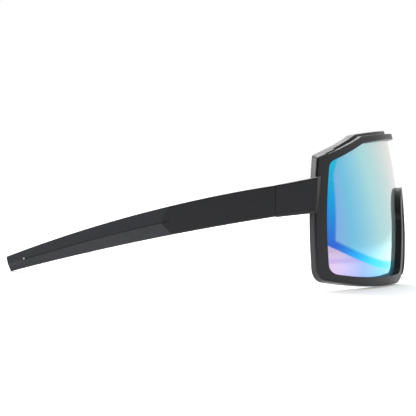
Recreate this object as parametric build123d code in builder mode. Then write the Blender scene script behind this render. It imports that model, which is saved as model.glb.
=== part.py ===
from build123d import *
from math import cos, hypot, radians, sin, sqrt, tan
import os

# Shield sports glasses, at rest on the lower rim and the two temple tips.
# Millimetres, +Z up, the glasses face -Y, +X is the wearer's left, Z = 0 is the table.

# ---- driving dimensions -------------------------------------------------------------
LENS_FRONT_Y = -78.2        # foremost point of the lens surface
EQUATOR_Z = 25.14           # height of that point
LEAN = 6.0                  # the front leans back by this angle, degrees
LENS_RADIUS = 98.0          # horizontal curve of the lens, its outer surface
BARREL_RADIUS = 211.0       # vertical curve of the lens
LENS_THICK = 1.8
LENS_BITE = 0.9             # the lens reaches this far into its groove
GROOVE_PLAY = 0.05
BRIDGE_PROUD = 2.6          # the rim stands this far in front of the lens at the centre
PROUD_LOSS = 5.2            # the rim's own curve is tighter, so it thins to the sides
RIM_BACK = 2.8              # back of the rim behind the lens surface
RIM_SIDE_ANGLE = 46.0       # direction in which the side walls of the rim face
SIDE_CURVE = 122.0          # the side edge bows by this radius
SIDE_CURVE_MIDDLE = -5.0    # and is widest at this height from the equator
SLOT_WIDTH = 0.8            # vent slot along the brow
SLOT_FRONT = 0.5            # front wall of the slot, ahead of the lens surface
BROW_BEND_X = 42.0          # here the level brow turns down to the temples
CUT_AHEAD = 12.0            # sketches of the front start this far ahead of the lens
CUT_LENGTH = 60.0           # and are cut back this far

HINGE_Y = -32.0             # seam between lug and temple
HINGE_Z = 35.0
HINGE_LEAN = 3.0            # the seam and the hinge axis lean back, degrees
ARM_OUTER_X = 67.6          # outer face of the temple at the hinge
ARM_THICK = 3.8
PIVOT_INSET = 2.2           # hinge axis inboard of the arm's inner face
SEAM_GAP = 0.15

PLATE_THICK = 0.9           # hinge leaves
PLATE_HEIGHT = 7.0
PLATE_LENGTH = 9.5
PLATE_SETBACK = 1.7         # start of a plate from the hinge axis
KNUCKLE_R = 1.5
KNUCKLE_HEIGHT = 2.3
KNUCKLE_GAP = 0.1
PIN_R = 0.7
PIN_CLEARANCE = 0.04
PIN_HEAD_R = 1.15
PIN_HEAD_HEIGHT = 0.7
SCREW_R = 0.6               # the small screws of the hinge leaves
SCREW_HEAD_R = 1.1
SCREW_REACH = 2.4           # into the nylon
SCREW_PITCH = 4.6
COUNTERSINK = 82.0          # full angle of the screw heads, degrees
DRIVE_WIDTH = 0.35
DRIVE_DEPTH = 0.3

PAD_ORIGIN = (11.2, -64.0, 19.5)
PAD_FACING = Vector(-0.80, 0.52, -0.30).normalized()
PAD_HALF_WIDTH = 4.2
PAD_HALF_HEIGHT = 7.6
PAD_THICK = 2.6
PADDLE_HALF_WIDTH = 2.6
PADDLE_HALF_HEIGHT = 5.6
PADDLE_DEPTH = 0.6          # the paddle is let into the back of the pad
PADDLE_THICK = 1.8
ARM_STRIP_HEIGHT = 3.6      # the arm's height between peg and paddle
PEG_X = 11.9                # of the nose pad arm, in the back of the rim
PEG_Y = -75.6
PEG_R = 1.0
PEG_LENGTH = 2.0

ARM_THINNING = 0.8          # the temple loses this much thickness
ARM_THINNING_LENGTH = 45.0  # over this length
TONGUE_THICK = 1.2          # the arm's core inside the rubber tip
TONGUE_END_Y = 60.0
GROOVE_DEPTH = 0.4
GROOVE_WIDTH = 0.5
CORD_HOLE_R = 0.6
CORD_HOLE_Y = 73.4
CORD_HOLE_Z = 5.7

# ---- reference planes ---------------------------------------------------------------
forward = Vector(0, -cos(radians(LEAN)), sin(radians(LEAN)))
front_plane = Plane(origin=(0, LENS_FRONT_Y, EQUATOR_Z), x_dir=(1, 0, 0), z_dir=forward)

ARM_INNER_X = ARM_OUTER_X - ARM_THICK
PIVOT_X = ARM_INNER_X - PIVOT_INSET
hinge_up = Vector(0, sin(radians(HINGE_LEAN)), cos(radians(HINGE_LEAN)))
hinge_plane = Plane(origin=(PIVOT_X, HINGE_Y, HINGE_Z), x_dir=(1, 0, 0), z_dir=hinge_up)


def seam_y(z):
    """Y of the leaning seam between lug and temple at height z."""
    return HINGE_Y + (z - HINGE_Z) * tan(radians(HINGE_LEAN))


def save(piece, name):
    piece.label = name
    export_step(piece, "parts/" + name + ".step")


def save_pair(left_piece, name):
    """Writes the wearer's left piece and its mirror image."""
    with BuildPart() as twin:
        mirror(left_piece, about=Plane.YZ)
    save(left_piece, name + "_left")
    save(twin.part, name + "_right")


# ---- curved front -------------------------------------------------------------------
def barrel(apex, axis_offset):
    """Front half of a barrel whose front-most point is at apex, turned about an upright axis."""
    heights = (-50, -25, 0, 25, 50)
    radii = [axis_offset + apex - BARREL_RADIUS + sqrt(BARREL_RADIUS**2 - h**2) for h in heights]
    axis_foot = front_plane.from_local_coords((0, 0, -axis_offset))
    with BuildPart() as drum:
        with BuildSketch(Plane(origin=axis_foot, x_dir=(1, 0, 0), z_dir=forward)):
            with BuildLine():
                Spline(*zip(radii, heights))
                Polyline(
                    (radii[-1], heights[-1]), (0, heights[-1]), (0, heights[0]), (radii[0], heights[0])
                )
            make_face()
        revolve(axis=Axis(axis_foot, front_plane.y_dir), revolution_arc=-180)
    return drum.part


def shell(front_drum, back_drum):
    with BuildPart() as wall:
        add(front_drum)
        add(back_drum, mode=Mode.SUBTRACT)
    return wall.part


def corner(sketch, x, y, reach=1.0):
    """The corners of a sketch near (x, y) and its mirror image."""
    return [v for v in sketch.vertices() if abs(abs(v.X) - x) < reach and abs(v.Y - y) < reach]


def shield_outline(grow):
    """A wide shield with a nose notch: the lens opening, or that grown by the groove's depth."""
    slant = 0.75 * grow
    with BuildSketch() as shield:
        with BuildLine():
            brow = ThreePointArc((0, 37.2 + grow), (22.5, 36.8 + grow), (BROW_BEND_X, 35.8 + grow))
            temple_side = ThreePointArc(
                (62.2 + grow, 28.7 + slant), (67.4 + grow, -1.5), (66.6 + grow, -15.4 - slant)
            )
            cheek = RadiusArc((30.0, -20.5 - grow), temple_side @ 1, -130)
            nose = Line((17.3 - slant, -20.3 - grow), (12.6 - grow, 2.4))
            bridge = ThreePointArc(nose @ 1, (8.9 - slant, 12.2 - slant), (0, 15.8 - grow))
            Line(brow @ 1, temple_side @ 0)
            Line(cheek @ 0, nose @ 0)
            mirror(about=Plane.YZ)
        make_face()
        fillet(corner(shield, 62.2 + grow, 28.7 + slant), 4.5 + grow)
        fillet(corner(shield, 66.6 + grow, -15.4 - slant), 5.0 + grow)
        fillet(corner(shield, 17.3 - slant, -20.3 - grow), 4.0 + grow)
    return shield.sketch


with BuildSketch() as rim_outline:
    with BuildLine():
        top = ThreePointArc((0, 40.9), (22.0, 40.45), (BROW_BEND_X, 39.4))
        bottom = RadiusArc((25.0, -24.4), (80.0, -14.0), -151)
        notch = Line((12.8, -24.4), (8.4, 2.4))
        arch = ThreePointArc(notch @ 1, (5.9, 8.4), (0, 11.0))
        Polyline(top @ 1, (80.0, 25.8), bottom @ 1)
        Line(bottom @ 0, notch @ 0)
        mirror(about=Plane.YZ)
    make_face()
    fillet(corner(rim_outline, 12.8, -24.4), 8.5)
    fillet(corner(rim_outline, BROW_BEND_X, 39.4), 10.0)


# The side walls of the rim face square out of the curved front, so a block trims them.
side_out = Vector(sin(radians(RIM_SIDE_ANGLE)), 0, 0) + forward * cos(radians(RIM_SIDE_ANGLE))
side_edge = front_plane.from_local_coords((71.2, 0, -29.5))
side_across = front_plane.y_dir.cross(side_out)
side_plane = Plane(origin=side_edge - side_out * 20, x_dir=side_across, z_dir=side_out)
SIDE_TRIM_INSET = 14.0       # the trimming block starts this far inside the edge
SIDE_TRIM_WIDTH = 54.0

with BuildPart() as side_trim:
    with BuildSketch(side_plane):
        with Locations((-SIDE_TRIM_INSET, 0)):
            Rectangle(SIDE_TRIM_WIDTH, 100, align=(Align.MIN, Align.CENTER))
        with Locations((0.35 - SIDE_CURVE, SIDE_CURVE_MIDDLE)):
            Circle(SIDE_CURVE, mode=Mode.SUBTRACT)
    extrude(amount=40)
    mirror(about=Plane.YZ)

face_drum = barrel(BRIDGE_PROUD, LENS_RADIUS - PROUD_LOSS)
back_drum = barrel(-RIM_BACK, LENS_RADIUS)


# ---- hinge --------------------------------------------------------------------------
# Local axes of a hinge: x outwards, y backwards, z up along the pin.
PLATE_FACE_X = PIVOT_INSET - PLATE_THICK
PLATE_MIDDLE_Y = PLATE_SETBACK + PLATE_LENGTH / 2
KNUCKLE_STEP = KNUCKLE_HEIGHT + KNUCKLE_GAP
STACK = 2 * KNUCKLE_STEP + KNUCKLE_HEIGHT
WEB_WIDTH = 1.5             # joins a knuckle to its plate
WEB_LENGTH = 2.4


def hinge_leaf(direction, knuckle_levels, pin_hole_r):
    """Stamped plate with knuckles. It runs backwards (direction 1) or forwards (-1) from the pin."""
    web_spots = [(PIVOT_INSET - WEB_WIDTH / 2, direction * WEB_LENGTH / 2, z) for z in knuckle_levels]
    with BuildPart(hinge_plane) as leaf:
        with Locations((PIVOT_INSET - PLATE_THICK / 2, direction * PLATE_MIDDLE_Y, 0)):
            Box(PLATE_THICK, PLATE_LENGTH, PLATE_HEIGHT)
        far_end = leaf.edges().filter_by(Axis.X).sort_by(Axis.Y)
        fillet(far_end[-2:] if direction > 0 else far_end[:2], 1.0)
        with Locations(*web_spots):
            Box(WEB_WIDTH, WEB_LENGTH, KNUCKLE_HEIGHT)
        with Locations(*[(0, 0, z) for z in knuckle_levels]):
            Cylinder(KNUCKLE_R, KNUCKLE_HEIGHT)
        Cylinder(pin_hole_r, 20, mode=Mode.SUBTRACT)
        with Locations((0, 0, STACK / 2)):
            Cylinder(PIN_HEAD_R, 2 * PIN_HEAD_HEIGHT, mode=Mode.SUBTRACT)
        for y in (PLATE_MIDDLE_Y - SCREW_PITCH / 2, PLATE_MIDDLE_Y + SCREW_PITCH / 2):
            with Locations(Location((PLATE_FACE_X, direction * y, 0), (0, -90, 0))):
                CounterSinkHole(SCREW_R, SCREW_HEAD_R, depth=PLATE_THICK)
    return leaf.part


def leaf_screws(direction):
    """The two countersunk screws that hold a leaf in the nylon."""
    head_depth = (SCREW_HEAD_R - SCREW_R) / tan(radians(COUNTERSINK / 2))
    from_seat = (Align.CENTER, Align.CENTER, Align.MIN)
    with BuildPart() as screws:
        for y in (PLATE_MIDDLE_Y - SCREW_PITCH / 2, PLATE_MIDDLE_Y + SCREW_PITCH / 2):
            seat = hinge_plane.location * Location((PLATE_FACE_X, direction * y, 0), (0, 90, 0))
            with Locations(seat):
                Cone(SCREW_HEAD_R, SCREW_R, head_depth, align=from_seat)
                Cylinder(SCREW_R, PLATE_THICK + SCREW_REACH, align=from_seat)
                Box(2 * SCREW_HEAD_R, DRIVE_WIDTH, 2 * DRIVE_DEPTH, mode=Mode.SUBTRACT)
    return screws.part


frame_hinge_leaf = hinge_leaf(-1, (-KNUCKLE_STEP, KNUCKLE_STEP), PIN_R)
temple_hinge_leaf = hinge_leaf(1, (0,), PIN_R + PIN_CLEARANCE)
frame_leaf_screws = leaf_screws(-1)
temple_leaf_screws = leaf_screws(1)

with BuildPart(hinge_plane) as hinge_screw:
    Cylinder(PIN_R, STACK)
    with Locations((0, 0, STACK / 2)):
        Cylinder(PIN_HEAD_R, PIN_HEAD_HEIGHT, align=(Align.CENTER, Align.CENTER, Align.MAX))
        Box(2 * PIN_HEAD_R, DRIVE_WIDTH, 2 * DRIVE_DEPTH, mode=Mode.SUBTRACT)


# ---- nose pads ----------------------------------------------------------------------
# A curved nylon arm pegged into the back of the rim ends in a paddle that carries the pad.
pad_plane = Plane(origin=PAD_ORIGIN, x_dir=Vector(PAD_FACING.Y, -PAD_FACING.X, 0), z_dir=PAD_FACING)

with BuildPart() as nose_pad_arm:
    with BuildSketch(pad_plane.offset(PADDLE_DEPTH)):
        Ellipse(PADDLE_HALF_WIDTH, PADDLE_HALF_HEIGHT)
    extrude(amount=-PADDLE_THICK)
    with BuildSketch(Plane.XY.offset(PAD_ORIGIN[2] - ARM_STRIP_HEIGHT / 2)):
        Polygon(
            (PEG_X - 1.2, PEG_Y), (PEG_X + 1.2, PEG_Y), (14.0, -68.0), (13.2, -62.8),
            (11.0, -66.0), (10.6, -68.5), align=None,
        )
    extrude(amount=ARM_STRIP_HEIGHT)
    with Locations(Location((PEG_X, PEG_Y, PAD_ORIGIN[2]), (90, 0, 0))):
        Cylinder(PEG_R, 2 * PEG_LENGTH)

with BuildPart() as nose_pad:
    with BuildSketch(pad_plane):
        Ellipse(PAD_HALF_WIDTH, PAD_HALF_HEIGHT)
    extrude(amount=PAD_THICK)
    fillet(nose_pad.edges().sort_by(Axis(pad_plane.origin, pad_plane.z_dir))[-1], 1.2)
    add(nose_pad_arm.part, mode=Mode.SUBTRACT)


# ---- front frame --------------------------------------------------------------------
# Lug: runs straight back from the side of the rim to the hinge seam.
with BuildPart() as lug:
    with BuildSketch():
        Polygon(
            (70.9, -48.6), (ARM_OUTER_X, HINGE_Y), (ARM_OUTER_X, HINGE_Y + 3),
            (ARM_INNER_X, HINGE_Y + 3), (ARM_INNER_X, -44.0), (66.9, -47.6), (68.0, -49.5), align=None,
        )
    extrude(amount=60)
    with BuildSketch(Plane.YZ):
        Polygon((-60.0, 48.2), (seam_y(41.2), 41.2), (seam_y(28.4), 28.4), (-60.0, 32.9), align=None)
    extrude(amount=90, mode=Mode.INTERSECT)
    fillet([e for e in lug.edges() if e.center().X > 66 and abs(e.center().Y + 40) < 3], 0.8)
    mirror(about=Plane.YZ)

# Front lip of the brow: lower than the rear lip, with a vent slot between the two.
with BuildPart() as lip_cut:
    with BuildSketch(front_plane.offset(CUT_AHEAD)):
        with BuildLine():
            lip_top = ThreePointArc((0, 39.5), (22.0, 39.2), (BROW_BEND_X, 38.5))
            Polyline(lip_top @ 1, (62.0, 31.9), (62.0, 60.0), (0, 60.0))
            mirror(about=Plane.YZ)
        make_face()
    extrude(amount=-CUT_LENGTH)
    add(barrel(SLOT_FRONT, LENS_RADIUS), mode=Mode.SUBTRACT)

with BuildPart() as brow_slot:
    with BuildSketch(front_plane.offset(CUT_AHEAD)):
        with BuildLine():
            floor = ThreePointArc((0, 38.5), (22.0, 38.2), (BROW_BEND_X, 37.5))
            Polyline(floor @ 1, (56.6, 32.7), (57.3, 34.3), (57.3, 60.0), (0, 60.0))
            mirror(about=Plane.YZ)
        make_face()
    extrude(amount=-CUT_LENGTH)
    slot_layer = shell(barrel(SLOT_FRONT, LENS_RADIUS), barrel(SLOT_FRONT - SLOT_WIDTH, LENS_RADIUS))
    add(slot_layer, mode=Mode.INTERSECT)


def lens_blank(bite, play):
    """The lens, or with some play the groove that it sits in."""
    layer = shell(barrel(play, LENS_RADIUS), barrel(-LENS_THICK - play, LENS_RADIUS))
    with BuildPart() as blank:
        with BuildSketch(front_plane.offset(CUT_AHEAD)):
            add(shield_outline(bite))
        extrude(amount=-CUT_LENGTH)
        add(layer, mode=Mode.INTERSECT)
    return blank.part


def on_face(edge, drum_apex, drum_axis):
    """True for an edge that lies on a drum's surface."""
    spot = front_plane.to_local_coords(edge @ 0.5)
    rise = drum_apex - BARREL_RADIUS + sqrt(BARREL_RADIUS**2 - spot.Y**2)
    return abs(hypot(spot.X, spot.Z + drum_axis) - rise - drum_axis) < 0.05


with BuildPart() as front_frame:
    with BuildSketch(front_plane.offset(CUT_AHEAD)):
        add(rim_outline.sketch)
    extrude(amount=-CUT_LENGTH)
    add(shell(face_drum, back_drum), mode=Mode.INTERSECT)
    add(side_trim.part, mode=Mode.SUBTRACT)
    walls = [e for e in front_frame.edges() if 3 < e.length < 4.6 and abs(e.center().X) > 60]
    fillet([e for e in walls if e.center().Z < 15], 6.0)
    walls = [e for e in front_frame.edges() if 3 < e.length < 4.6 and e.center().Z > 50]
    fillet([e for e in walls if abs(e.center().X) > 60], 1.5)
    rim_edges = [e for e in front_frame.edges() if on_face(e, BRIDGE_PROUD, LENS_RADIUS - PROUD_LOSS)]
    fillet([e for e in rim_edges if e.center().Z < 50], 0.9)
    with BuildSketch(front_plane.offset(CUT_AHEAD)):
        add(shield_outline(0))
    extrude(amount=-CUT_LENGTH, mode=Mode.SUBTRACT)
    add(lug.part)
    add(lens_blank(LENS_BITE + GROOVE_PLAY, GROOVE_PLAY), mode=Mode.SUBTRACT)
    add(lip_cut.part, mode=Mode.SUBTRACT)
    add(brow_slot.part, mode=Mode.SUBTRACT)
    for fitted in (frame_leaf_screws, nose_pad_arm.part):
        add(fitted, mode=Mode.SUBTRACT)
        add(mirror(fitted, about=Plane.YZ, mode=Mode.PRIVATE), mode=Mode.SUBTRACT)

shield_lens = lens_blank(LENS_BITE, 0)


# ---- temples ------------------------------------------------------------------------
def arm_top(y):
    return 33.9 - 0.2625 * y - 0.001 * y**2


def arm_bottom(y):
    return 21.53 - 0.236 * y - 0.00048 * y**2


def arm_outer(y):
    return ARM_OUTER_X - (y - HINGE_Y) ** 2 / 2160


def arm_inner(y):
    return arm_outer(y) - ARM_THICK + ARM_THINNING * min(1, (y - HINGE_Y) / ARM_THINNING_LENGTH)


def section_plane(y):
    return Plane(origin=(0, y, 0), x_dir=(1, 0, 0), z_dir=(0, -1, 0))


def arm_section(y, bevel, corner_r):
    """Cross-section of the temple: flat outside, or with two bevels that meet in a ridge."""
    top = arm_top(y)
    bottom = arm_bottom(y)
    middle = (top + bottom) / 2
    with BuildSketch(section_plane(y)) as section:
        Polygon(
            (arm_outer(y) - bevel, top), (arm_outer(y), middle), (arm_outer(y) - bevel, bottom),
            (arm_inner(y), bottom), (arm_inner(y), top), align=None,
        )
        fillet([v for v in section.vertices() if abs(v.Z - middle) > 1], corner_r)
    return section.sketch


def tongue_section(y, height):
    with BuildSketch(section_plane(y)) as section:
        with Locations(((arm_outer(y) + arm_inner(y)) / 2 - 0.1, (arm_top(y) + arm_bottom(y)) / 2)):
            RectangleRounded(TONGUE_THICK, height, 0.5)
    return section.sketch


def side_block(*points):
    """A block through the left temple with the given outline in side view."""
    with BuildPart() as block:
        with BuildSketch(Plane.YZ):
            Polygon(*points, align=None)
        extrude(amount=100)
    return block.part


# The nylon arm ends in a blunt arrow; the rubber tip starts behind it.
nylon_region = side_block(
    (seam_y(50) + SEAM_GAP, 50.0), (10.2, 50.0), (10.2, 31.5), (14.0, 25.8), (14.1, 23.2), (9.3, 19.0),
    (9.3, 0), (seam_y(0) + SEAM_GAP, 0),
)
tail_cut = side_block(
    (79.6, 12.0), (81.05, 6.2), (80.1, 3.2), (77.4, -3.0), (100.0, -3.0), (100.0, 12.0),
)

with BuildPart() as tongue:
    for y, height in ((6.0, 5.0), (35.0, 3.8), (TONGUE_END_Y, 2.6)):
        add(tongue_section(y, height))
    loft()

# Narrow groove along the ridge, from the arrow to just before the cord hole.
with BuildPart() as ridge_groove:
    for y in (11.0, 26.0, 41.0, 56.0, CORD_HOLE_Y - 1.0):
        with BuildSketch(section_plane(y)):
            with Locations((arm_outer(y), (arm_top(y) + arm_bottom(y)) / 2)):
                Rectangle(2 * GROOVE_DEPTH, GROOVE_WIDTH)
    loft()

with BuildPart() as temple_arm:
    for y in (-36.0, -20.0, -4.0, 12.0, 20.0):
        add(arm_section(y, 0, 0.6))
    loft()
    add(nylon_region, mode=Mode.INTERSECT)
    add(tongue.part)
    add(temple_hinge_leaf, mode=Mode.SUBTRACT)
    add(temple_leaf_screws, mode=Mode.SUBTRACT)
    add(ridge_groove.part, mode=Mode.SUBTRACT)

with BuildPart() as temple_tip:
    for y in (4.0, 24.0, 44.0, 64.0, 84.0):
        add(arm_section(y, 1.0 - 0.004 * y, 0.5))
    loft()
    add(nylon_region, mode=Mode.SUBTRACT)
    add(tail_cut, mode=Mode.SUBTRACT)
    add(tongue.part, mode=Mode.SUBTRACT)
    add(ridge_groove.part, mode=Mode.SUBTRACT)
    with Locations(Location((60, CORD_HOLE_Y, CORD_HOLE_Z), (0, 90, 0))):
        Cylinder(CORD_HOLE_R, 30, mode=Mode.SUBTRACT)


os.makedirs("parts", exist_ok=True)
save(front_frame.part, "front_frame")
save(shield_lens, "shield_lens")
save_pair(nose_pad_arm.part, "nose_pad_arm")
save_pair(nose_pad.part, "nose_pad")
save_pair(frame_hinge_leaf, "frame_hinge_leaf")
save_pair(temple_hinge_leaf, "temple_hinge_leaf")
save_pair(hinge_screw.part, "hinge_screw")
save_pair(frame_leaf_screws, "frame_leaf_screws")
save_pair(temple_leaf_screws, "temple_leaf_screws")
save_pair(temple_arm.part, "temple_arm")
save_pair(temple_tip.part, "temple_tip")
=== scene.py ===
import math

import bmesh
import bpy
from mathutils import Matrix, Vector


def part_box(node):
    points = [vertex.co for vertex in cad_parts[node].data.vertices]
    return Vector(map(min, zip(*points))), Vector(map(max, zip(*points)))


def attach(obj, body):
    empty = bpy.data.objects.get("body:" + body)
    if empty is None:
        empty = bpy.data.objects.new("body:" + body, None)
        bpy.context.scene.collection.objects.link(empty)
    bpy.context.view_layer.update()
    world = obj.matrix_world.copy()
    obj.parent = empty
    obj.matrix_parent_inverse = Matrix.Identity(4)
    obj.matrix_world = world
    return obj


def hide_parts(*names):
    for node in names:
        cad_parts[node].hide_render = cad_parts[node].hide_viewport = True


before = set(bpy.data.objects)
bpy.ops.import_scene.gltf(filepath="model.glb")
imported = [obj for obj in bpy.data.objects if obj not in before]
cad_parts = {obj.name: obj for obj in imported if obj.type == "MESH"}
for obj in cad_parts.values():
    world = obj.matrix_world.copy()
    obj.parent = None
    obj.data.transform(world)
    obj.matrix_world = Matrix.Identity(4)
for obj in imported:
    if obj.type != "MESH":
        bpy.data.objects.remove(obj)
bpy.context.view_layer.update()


# ---- studio -------------------------------------------------------------------------
# A white table in a white room, lit as for a catalogue: bright above, ahead of and
# beyond the glasses and dim on the camera's side, which keeps the nylon's flanks dark.
VIEW_AZIMUTH = math.radians(-80.0)      # from the wearer's right, a little in front
VIEW_ELEVATION = math.radians(2.5)
VIEW_ROLL = math.radians(2.4)
VIEW_DISTANCE = 0.576
VIEW_TARGET = Vector((-0.0653, -0.0043, 0.0307))
FOCAL_LENGTH = 123.6
NEAR_CLIP = 0.01
TABLE_RADIUS = 4.0
TABLE_WHITE = "#fbfbfb"
ROOM_LIGHT = 0.88                       # radiance of the bright walls
DIM_SIDE = 0.10                         # of the dim one
DIM_UP_TO = -0.90                       # the walls are dim up to this X of a direction
BRIGHT_FROM = -0.05                     # and bright from this one on
TABLE_GLOW = 0.32                       # lifts the far table to white, as in a light tent
# A Mix node has sockets for each type of data, which only their numbers tell apart.
FACTOR, NUMBER_A, NUMBER_B, NUMBER_OUT = 0, 2, 3, 0


def to_linear(hex_colour):
    """An sRGB hex colour as the linear colour that a shader socket takes."""
    channels = [int(hex_colour[i:i + 2], 16) / 255 for i in (1, 3, 5)]
    linear = [c / 12.92 if c <= 0.04045 else ((c + 0.055) / 1.055) ** 2.4 for c in channels]
    return (*linear, 1.0)


def add_node(tree, kind, inputs=None, **settings):
    """Adds a node with its settings; each input is a value or another node's output."""
    made = tree.nodes.new("ShaderNode" + kind)
    for key, setting in settings.items():
        setattr(made, key, setting)
    for key, given in (inputs or {}).items():
        if isinstance(given, bpy.types.NodeSocket):
            tree.links.new(given, made.inputs[key])
        else:
            made.inputs[key].default_value = given
    return made


def new_material(name):
    """A new material, with its node tree and its shader."""
    material = bpy.data.materials.new(name)
    material.use_nodes = True
    return material, material.node_tree, material.node_tree.nodes["Principled BSDF"]


back = Vector((
    math.sin(VIEW_AZIMUTH) * math.cos(VIEW_ELEVATION),
    -math.cos(VIEW_AZIMUTH) * math.cos(VIEW_ELEVATION),
    math.sin(VIEW_ELEVATION),
))
level_right = (-back).cross(Vector((0, 0, 1))).normalized()
level_up = level_right.cross(-back)
camera_right = level_right * math.cos(VIEW_ROLL) + level_up * math.sin(VIEW_ROLL)
camera_up = level_up * math.cos(VIEW_ROLL) - level_right * math.sin(VIEW_ROLL)
turn = Matrix((camera_right, camera_up, back)).transposed().to_4x4()
camera = bpy.data.objects.new("camera", bpy.data.cameras.new("camera"))
camera.data.lens = FOCAL_LENGTH
camera.data.clip_start = NEAR_CLIP
camera.matrix_world = Matrix.Translation(VIEW_TARGET + back * VIEW_DISTANCE) @ turn
bpy.context.collection.objects.link(camera)
bpy.context.scene.camera = camera
bpy.context.scene.view_settings.view_transform = "Standard"

room = bpy.data.worlds.new("white room")
bpy.context.scene.world = room
room.use_nodes = True
tree = room.node_tree
direction = add_node(tree, "TexCoord").outputs["Generated"]
sides = add_node(tree, "SeparateXYZ", {"Vector": direction})
flank = add_node(
    tree, "MapRange",
    {
        "Value": sides.outputs["X"], "From Min": DIM_UP_TO, "From Max": BRIGHT_FROM,
        "To Min": DIM_SIDE, "To Max": ROOM_LIGHT,
    },
    interpolation_type="SMOOTHSTEP",
).outputs["Result"]
# The camera itself sees every wall white.
seen = add_node(tree, "LightPath").outputs["Is Camera Ray"]
wall_light = add_node(
    tree, "Mix", {FACTOR: seen, NUMBER_A: flank, NUMBER_B: 1.0},
).outputs[NUMBER_OUT]
tree.links.new(wall_light, tree.nodes["Background"].inputs["Strength"])
tree.nodes["Background"].inputs["Color"].default_value = (1, 1, 1, 1)

table_shape = bmesh.new()
bmesh.ops.create_circle(table_shape, cap_ends=True, segments=96, radius=TABLE_RADIUS)
table_mesh = bpy.data.meshes.new("table")
table_shape.to_mesh(table_mesh)
table_shape.free()
table = bpy.data.objects.new("table", table_mesh)
bpy.context.collection.objects.link(table)
table_paint, _, shader = new_material("matt white table")
shader.inputs["Base Color"].default_value = to_linear(TABLE_WHITE)
shader.inputs["Roughness"].default_value = 0.9
shader.inputs["Specular IOR Level"].default_value = 0.1
shader.inputs["Emission Color"].default_value = (1, 1, 1, 1)
shader.inputs["Emission Strength"].default_value = TABLE_GLOW
table_mesh.materials.append(table_paint)

for name, place, size, power in (
    ("overhead soft box", (0.25, 0.3, 0.75), 0.6, 3.0),
    ("far side soft box", (0.62, 0.20, 0.57), 0.5, 3.5),
    ("rear soft box", (0.15, 0.85, 0.35), 0.45, 4.5),
):
    lamp = bpy.data.lights.new(name, "AREA")
    lamp.shape = "SQUARE"
    lamp.size = size
    lamp.energy = power
    holder = bpy.data.objects.new(name, lamp)
    holder.location = place
    holder.rotation_euler = Vector(place).to_track_quat("Z", "Y").to_euler()
    bpy.context.collection.objects.link(holder)


# ---- front frame, temple arms and nose pad arms -------------------------------------
# Glass-filled nylon, injection moulded in black in a spark-textured mould: a deep grey
# satin with soft wide highlights, a fine grain and slightly rounded edges.
MM = 0.001
NYLON_IOR = 1.53
NYLON_SMOOTH, NYLON_ROUGH = 0.40, 0.50
TEXTURED_SHINE = 0.38                   # the texture swallows part of the reflection
GRAIN = 0.28 * MM                       # coarser than the real 0.1 mm, so that it shows
GRAIN_DEPTH = 0.02 * MM
GRAIN_BUMP = 0.35
FLECK_DARK, FLECK_LIGHT = 0.75, 1.3     # the grain makes the colour this much darker, lighter
MOTTLE = 14 * MM                        # size of soft patches of slightly different gloss
EDGE_ROUND = 0.30 * MM                  # the shading rounds the sharp edges by this
NOISE_SPAN = {"From Min": 0.3, "From Max": 0.7}     # most values of a noise lie in here
COLOUR_A, COLOUR_B, COLOUR_OUT = 6, 7, 2            # a Mix node's sockets for colours


def moulded(name, dark, light, smooth, rough, grain_size, depth):
    """A moulded black polymer: two close greys in patches, grainy, with rounded edges."""
    material, tree, shader = new_material(name)
    place = add_node(tree, "TexCoord").outputs["Object"]
    patches = add_node(
        tree, "TexNoise", {"Vector": place, "Scale": 1 / MOTTLE, "Detail": 3.0},
    ).outputs["Fac"]
    grain = add_node(
        tree, "TexNoise",
        {"Vector": place, "Scale": 1 / grain_size, "Detail": 2.0, "Roughness": 0.6},
    ).outputs["Fac"]
    tone = add_node(
        tree, "Mix",
        {FACTOR: patches, COLOUR_A: to_linear(dark), COLOUR_B: to_linear(light)},
        data_type="RGBA",
    ).outputs[COLOUR_OUT]
    fleck = add_node(
        tree, "MapRange",
        {**NOISE_SPAN, "Value": grain, "To Min": FLECK_DARK, "To Max": FLECK_LIGHT},
    ).outputs["Result"]
    skin = add_node(
        tree, "VectorMath", {0: tone, "Scale": fleck}, operation="SCALE",
    ).outputs["Vector"]
    gloss = add_node(
        tree, "MapRange",
        {**NOISE_SPAN, "Value": patches, "To Min": smooth, "To Max": rough},
    ).outputs["Result"]
    edge = add_node(tree, "Bevel", {"Radius": EDGE_ROUND}, samples=6)
    bump = add_node(
        tree, "Bump",
        {
            "Height": grain, "Normal": edge.outputs["Normal"],
            "Strength": GRAIN_BUMP, "Distance": depth,
        },
    ).outputs["Normal"]
    tree.links.new(skin, shader.inputs["Base Color"])
    tree.links.new(gloss, shader.inputs["Roughness"])
    tree.links.new(bump, shader.inputs["Normal"])
    shader.inputs["IOR"].default_value = NYLON_IOR
    shader.inputs["Specular IOR Level"].default_value = TEXTURED_SHINE
    return material


def finish_nodes(material, *names):
    """Gives CAD nodes their material."""
    for name in names:
        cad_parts[name].data.materials.clear()
        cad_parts[name].data.materials.append(material)


black_nylon = moulded(
    "black spark-textured nylon", "#0d0e11", "#14151a",
    NYLON_SMOOTH, NYLON_ROUGH, GRAIN, GRAIN_DEPTH,
)
finish_nodes(
    black_nylon, "front_frame", "temple_arm_left", "temple_arm_right",
    "nose_pad_arm_left", "nose_pad_arm_right",
)


# ---- temple tips --------------------------------------------------------------------
# Thermoplastic rubber moulded over the end of each arm, for grip behind the ear:
# greyer and duller than the nylon, with a slightly coarser, softer grain.
TIP_SMOOTH, TIP_ROUGH = 0.50, 0.62
RUBBER_GRAIN = 0.4 * MM
RUBBER_DEPTH = 0.03 * MM

tip_rubber = moulded(
    "soft black tip rubber", "#292a2e", "#323338",
    TIP_SMOOTH, TIP_ROUGH, RUBBER_GRAIN, RUBBER_DEPTH,
)
finish_nodes(tip_rubber, "temple_tip_left", "temple_tip_right")


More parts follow.
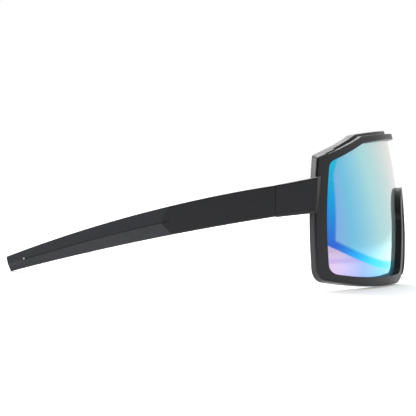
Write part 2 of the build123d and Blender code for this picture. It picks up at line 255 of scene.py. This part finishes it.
# ---- shield lens --------------------------------------------------------------------
# One piece of curved polycarbonate with a vacuum-coated mirror on the outside. Its play
# of colour is laid down as a fixed pattern in a few plain colours: silver at the bridge,
# sky blue outwards, an azure band and sweep, and lilac at the lower edge. The band, the
# sweep and the lilac edge are partly the coating's colour and partly painted reflections
# of the studio and the white table.
POLYCARBONATE_IOR = 1.58
MIRROR_STRENGTH = 0.75
CLEAN_GLOSS, SMEARED_GLOSS = 0.07, 0.13
SMEAR_SIZE = 22 * MM
SILVER_GREEN = "#e0e5e0"
PALE_CYAN = "#b0e5e8"
SKY_BLUE = "#78ccee"
PERIWINKLE = "#90b0f0"
AZURE = "#00a8ee"
CYAN = "#10c8ea"
ROYAL_BLUE = "#3068e4"
LILAC = "#d0bce0"
LILAC_DARK_REFLECTION = "#a090d0"
SMOKE_GREY = "#1b1d21"                  # of the uncoated inside

# The pattern is measured in millimetres: across, out from the middle of the lens to
# either side, and up from the table. A pair of lengths is where a fade starts and ends.
BRIDGE_TO_EDGE = ((5, SILVER_GREEN), (38, PALE_CYAN), (55, SKY_BLUE), (64, PERIWINKLE))
# Partly the coating's colour and partly painted reflections of the studio and the table:
EDGE_BAND_TINT_AND_REFLECTION = ((17, ROYAL_BLUE), (36, AZURE), (52, CYAN))
SWEEP_TINT_AND_REFLECTION = ((42, CYAN), (52, AZURE), (63, ROYAL_BLUE))
LOWER_EDGE_TINT_AND_REFLECTION = ((34, SKY_BLUE), (48, PERIWINKLE), (62, LILAC))
HALF_LENS = 70.0                        # the length of the ramps that run across
LENS_HEIGHT = 60.0                      # and of the one that runs up the edge
BRIDGE_SHIFT = 0.011                    # how far the colours lean out towards the brow
LEAN_CENTRE = 36.0                      # they don't lean at this height
LEAN_END = 60.0                         # nor this far out
SWEEP_START = 25.0                      # the curve of the sweep is measured from here
SWEEP_HEIGHT = 8.5                      # its middle line is at this height there
SWEEP_SLOPE = 0.05
SWEEP_RISE = 0.0055
SWEEP_FOOT = (-1.9, -1.1)               # above its middle line
SWEEP_TOP = (2.6, 1.0)
SWEEP_INNER = (8.0, 30.0)               # across
LOWER_TOP = (-0.6, -1.8)                # of the lower edge's colours, above the same line
STREAK_FOOT = (10.2, 11.6)              # of the darker streak in the lilac, a painted reflection, up
STREAK_TOP = (13.6, 12.2)
STREAK_STRENGTH = 0.45
BAND_INNER = 64.6                       # the edge band starts this far out at the table
BAND_SLOPE = -0.10                      # and this much further out for each one up
BAND_LEAN = 6.5                         # it leans in by this above the temples,
BAND_LEAN_HEIGHTS = (44.0, 62.0)        # between these heights
BAND_EDGE = (-0.6, 0.6)                 # out from its start
BAND_FOOT = (-1.9, -0.9)                # above the sweep's middle line
FACING_WEARER = (0.05, 0.15)            # the part of +Y in the normal of the inside


mirror_coat, tree, shader = new_material("vacuum-coated mirror polycarbonate")


def ramp(distance, stops, length):
    """A colour ramp over a length, whose stops are given as distances along it."""
    share = add_node(tree, "Math", {0: distance, 1: length}, operation="DIVIDE").outputs[0]
    made = add_node(tree, "ValToRGB", {"Fac": share})
    points = made.color_ramp.elements
    while len(points) < len(stops):
        points.new(1.0)
    for point, (place, colour) in zip(points, stops):
        point.position = place / length
        point.color = to_linear(colour)
    return made.outputs["Color"]


def layer(below, above, strength, *limits):
    """Lays one colour over another at a strength, faded in past each of its limits."""
    for value, (start, end) in limits:
        faded = add_node(
            tree, "MapRange", {"Value": value, "From Min": start, "From Max": end},
            interpolation_type="SMOOTHSTEP",
        ).outputs["Result"]
        strength = add_node(
            tree, "Math", {0: strength, 1: faded}, operation="MULTIPLY",
        ).outputs[0]
    return add_node(
        tree, "Mix", {FACTOR: strength, COLOUR_A: below, COLOUR_B: above}, data_type="RGBA",
    ).outputs[COLOUR_OUT]


place = add_node(tree, "TexCoord").outputs["Object"]
axes = add_node(tree, "SeparateXYZ", {"Vector": place})
sideways = add_node(tree, "Math", {0: axes.outputs["X"]}, operation="ABSOLUTE").outputs[0]
across = add_node(tree, "Math", {0: sideways, 1: 1 / MM}, operation="MULTIPLY").outputs[0]
height = add_node(
    tree, "Math", {0: axes.outputs["Z"], 1: 1 / MM}, operation="MULTIPLY",
).outputs[0]

drop = add_node(tree, "Math", {0: LEAN_CENTRE, 1: height}, operation="SUBTRACT").outputs[0]
room_left = add_node(tree, "Math", {0: LEAN_END, 1: across}, operation="SUBTRACT").outputs[0]
lean = add_node(
    tree, "Math", {0: room_left, 1: BRIDGE_SHIFT}, operation="MULTIPLY",
).outputs[0]
leaned_across = add_node(
    tree, "Math", {0: drop, 1: lean, 2: across}, operation="MULTIPLY_ADD",
).outputs[0]
surface = ramp(leaned_across, BRIDGE_TO_EDGE, HALF_LENS)

# The sweep, partly a painted reflection of the studio, rises outwards on a shallow curve,
# and the lower edge's colours, partly a painted reflection of the table, are below it.
out = add_node(tree, "Math", {0: across, 1: SWEEP_START}, operation="SUBTRACT").outputs[0]
slope = add_node(
    tree, "Math", {0: out, 1: SWEEP_RISE, 2: SWEEP_SLOPE}, operation="MULTIPLY_ADD",
).outputs[0]
middle = add_node(
    tree, "Math", {0: out, 1: slope, 2: SWEEP_HEIGHT}, operation="MULTIPLY_ADD",
).outputs[0]
above_middle = add_node(tree, "Math", {0: height, 1: middle}, operation="SUBTRACT").outputs[0]
# The lower edge: lilac that is partly a painted reflection of the white table.
lower = layer(
    # with a darker painted reflection laid across it in a streak
    ramp(across, LOWER_EDGE_TINT_AND_REFLECTION, HALF_LENS), to_linear(LILAC_DARK_REFLECTION),
    STREAK_STRENGTH, (height, STREAK_FOOT), (height, STREAK_TOP),
)
surface = layer(surface, lower, 1.0, (above_middle, LOWER_TOP))
# The sweep: coating colour with a painted reflection of the studio, laid over the rest.
surface = layer(
    surface, ramp(across, SWEEP_TINT_AND_REFLECTION, HALF_LENS),
    1.0, (above_middle, SWEEP_FOOT), (above_middle, SWEEP_TOP), (across, SWEEP_INNER),
)

# The band, partly a painted reflection of the studio, follows the outer edge, which
# leans in above the temples.
lean_from, lean_to = BAND_LEAN_HEIGHTS
leaned_in = add_node(
    tree, "MapRange",
    {"Value": height, "From Min": lean_from, "From Max": lean_to, "To Max": BAND_LEAN},
    interpolation_type="SMOOTHSTEP",
).outputs["Result"]
straight_start = add_node(
    tree, "Math", {0: height, 1: BAND_SLOPE, 2: BAND_INNER}, operation="MULTIPLY_ADD",
).outputs[0]
band_start = add_node(
    tree, "Math", {0: straight_start, 1: leaned_in}, operation="SUBTRACT",
).outputs[0]
past_start = add_node(
    tree, "Math", {0: across, 1: band_start}, operation="SUBTRACT",
).outputs[0]
surface = layer(
    surface, ramp(height, EDGE_BAND_TINT_AND_REFLECTION, LENS_HEIGHT),
    1.0, (past_start, BAND_EDGE), (above_middle, BAND_FOOT),
)

# Only the outside is coated: from behind, the wearer sees smoke-grey polycarbonate.
normal = add_node(tree, "NewGeometry").outputs["Normal"]
backwards = add_node(tree, "SeparateXYZ", {"Vector": normal}).outputs["Y"]
surface = layer(surface, to_linear(SMOKE_GREY), 1.0, (backwards, FACING_WEARER))
coated_until, bare_from = FACING_WEARER
mirrored = add_node(
    tree, "MapRange",
    {
        "Value": backwards, "From Min": coated_until, "From Max": bare_from,
        "To Min": MIRROR_STRENGTH, "To Max": 0.0,
    },
    interpolation_type="SMOOTHSTEP",
).outputs["Result"]
tree.links.new(surface, shader.inputs["Base Color"])
tree.links.new(mirrored, shader.inputs["Metallic"])

# Faint smears, as from wiping with a cloth, change the gloss and not the colour.
smears = add_node(
    tree, "TexNoise",
    {"Vector": place, "Scale": 1 / SMEAR_SIZE, "Detail": 4.0, "Distortion": 0.6},
).outputs["Fac"]
gloss = add_node(
    tree, "MapRange",
    {**NOISE_SPAN, "Value": smears, "To Min": CLEAN_GLOSS, "To Max": SMEARED_GLOSS},
).outputs["Result"]
tree.links.new(gloss, shader.inputs["Roughness"])
shader.inputs["IOR"].default_value = POLYCARBONATE_IOR
finish_nodes(mirror_coat, "shield_lens")


# ---- nose pads ----------------------------------------------------------------------
# Soft moulded rubber pads, pressed over the paddles of the pad arms: crowned where they
# meet the nose and flat on the back.
PAD_FACING = Vector((-0.80, 0.52, -0.30)).normalized()      # of the wearer's left pad
PAD_HALF_WIDTH = 4.1 * MM
PAD_HALF_HEIGHT = 7.5 * MM
PAD_CROWN = 2.55 * MM
PAD_THICK = 2.6 * MM
PAD_BACK = 0.05                         # the back half of the ball is pressed this flat
CROWN_POWER = 0.75                      # fuller than a ball, flatter on top
PAD_SMOOTH, PAD_ROUGH = 0.55, 0.68

pad_rubber = moulded(
    "black nose pad rubber", "#17181a", "#1e1f22",
    PAD_SMOOTH, PAD_ROUGH, RUBBER_GRAIN, RUBBER_DEPTH,
)
for side, sign in (("left", 1), ("right", -1)):
    cad_pad = "nose_pad_" + side
    low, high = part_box(cad_pad)
    facing = Vector((sign * PAD_FACING.x, PAD_FACING.y, PAD_FACING.z))
    wide = Vector((facing.y, -facing.x, 0)).normalized()
    tall = facing.cross(wide)
    middle_point = (low + high) / 2 - facing * PAD_THICK / 2
    pad_shape = bmesh.new()
    bmesh.ops.create_uvsphere(pad_shape, u_segments=48, v_segments=32, radius=1.0)
    for vertex in pad_shape.verts:
        x, y, z = vertex.co
        fullness = 1.0 if z >= 0 else PAD_BACK
        crown = math.copysign(abs(z) ** CROWN_POWER, z)
        vertex.co = (
            wide * x * PAD_HALF_WIDTH + tall * y * PAD_HALF_HEIGHT
            + facing * crown * fullness * PAD_CROWN + middle_point
        )
    bmesh.ops.recalc_face_normals(pad_shape, faces=pad_shape.faces)
    for face in pad_shape.faces:
        face.smooth = True
    pad_mesh = bpy.data.meshes.new("soft_nose_pad_" + side)
    pad_shape.to_mesh(pad_mesh)
    pad_shape.free()
    pad_mesh.materials.append(pad_rubber)
    pad = bpy.data.objects.new("soft_nose_pad_" + side, pad_mesh)
    bpy.context.collection.objects.link(pad)
    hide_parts(cad_pad)
    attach(pad, "front")


# ---- hinges and screws --------------------------------------------------------------
# Stamped stainless steel leaves, tumbled and brushed along their length, held by small
# turned screws: cool grey metal with fine streaks.
BRUSH = 0.12 * MM
BRUSH_DEPTH = 0.01 * MM
BRUSH_BUMP = 0.3
STREAK_LENGTH = 30                      # the streaks are this many times longer than wide
STEEL_SMOOTH, STEEL_ROUGH = 0.22, 0.42

steel, tree, shader = new_material("brushed stainless steel")
place = add_node(tree, "TexCoord").outputs["Object"]
stretched = add_node(
    tree, "Mapping", {"Vector": place, "Scale": (1.0, 1 / STREAK_LENGTH, 1.0)},
).outputs["Vector"]
streaks = add_node(
    tree, "TexNoise", {"Vector": stretched, "Scale": 1 / BRUSH, "Detail": 2.0},
).outputs["Fac"]
metal = add_node(
    tree, "Mix",
    {FACTOR: streaks, COLOUR_A: to_linear("#9a9ca0"), COLOUR_B: to_linear("#c3c5c8")},
    data_type="RGBA",
).outputs[COLOUR_OUT]
gloss = add_node(
    tree, "MapRange",
    {"Value": streaks, "To Min": STEEL_SMOOTH, "To Max": STEEL_ROUGH},
).outputs["Result"]
bump = add_node(
    tree, "Bump",
    {"Height": streaks, "Strength": BRUSH_BUMP, "Distance": BRUSH_DEPTH},
).outputs["Normal"]
tree.links.new(metal, shader.inputs["Base Color"])
tree.links.new(gloss, shader.inputs["Roughness"])
tree.links.new(bump, shader.inputs["Normal"])
shader.inputs["Metallic"].default_value = 1.0
for part_name in (
    "frame_hinge_leaf", "temple_hinge_leaf", "hinge_screw",
    "frame_leaf_screws", "temple_leaf_screws",
):
    finish_nodes(steel, part_name + "_left", part_name + "_right")
